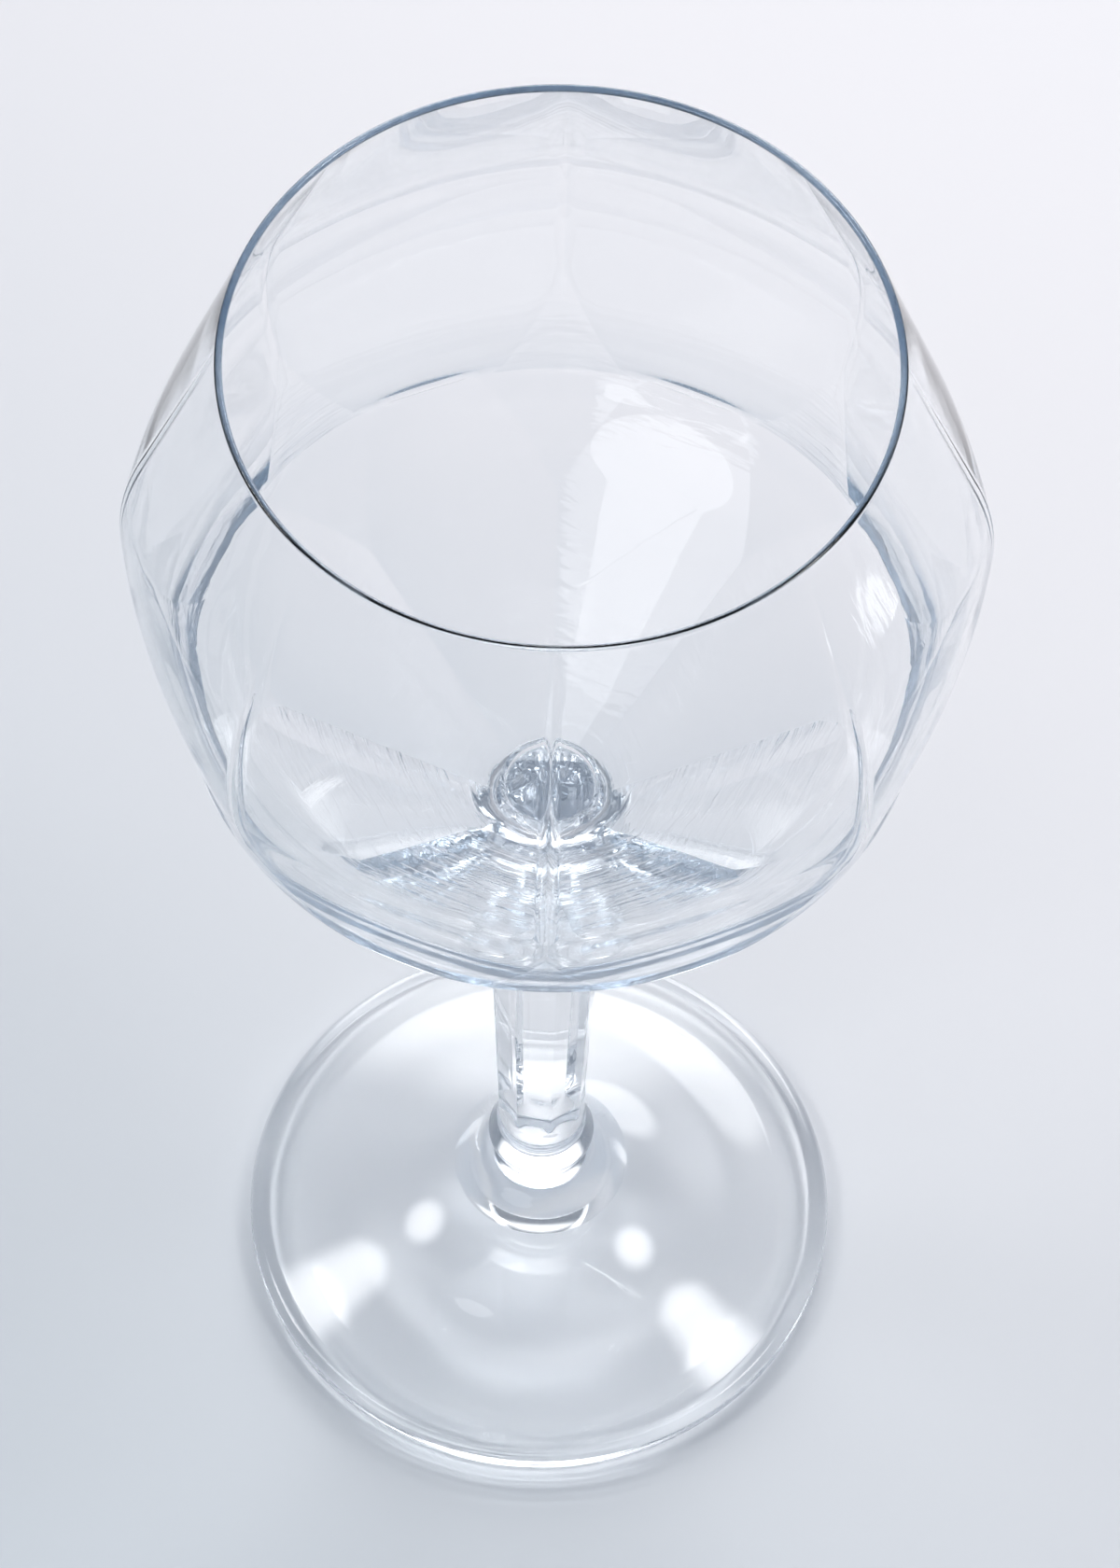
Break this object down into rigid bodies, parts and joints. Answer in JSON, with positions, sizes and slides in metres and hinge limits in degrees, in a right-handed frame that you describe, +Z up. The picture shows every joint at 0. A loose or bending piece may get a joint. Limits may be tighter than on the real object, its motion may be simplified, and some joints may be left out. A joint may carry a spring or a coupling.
{
  "type": "stemmed gin glass",
  "caption": "Clear stemmed gin glass with a balloon bowl of soft bowed panels, a gem-cut underside, a flat-sided tapering stem with a bead and a domed round foot.",
  "frame": {"origin": "centre of the foot's resting ring, on the surface that the glass stands on", "axes": "+Z up along the glass's axis, towards the rim; -Y towards the viewer of the picture, on a ridge of the bowl"},
  "size_m": [0.1078, 0.1078, 0.22],
  "materials": {
    "clear_glass": "polished, clear, a trace of blue-grey in the thick edges"
  },
  "bodies": {
    "root": {"bowl": "clear_glass", "stem": "clear_glass", "foot": "clear_glass"}
  },
  "joints": []
}
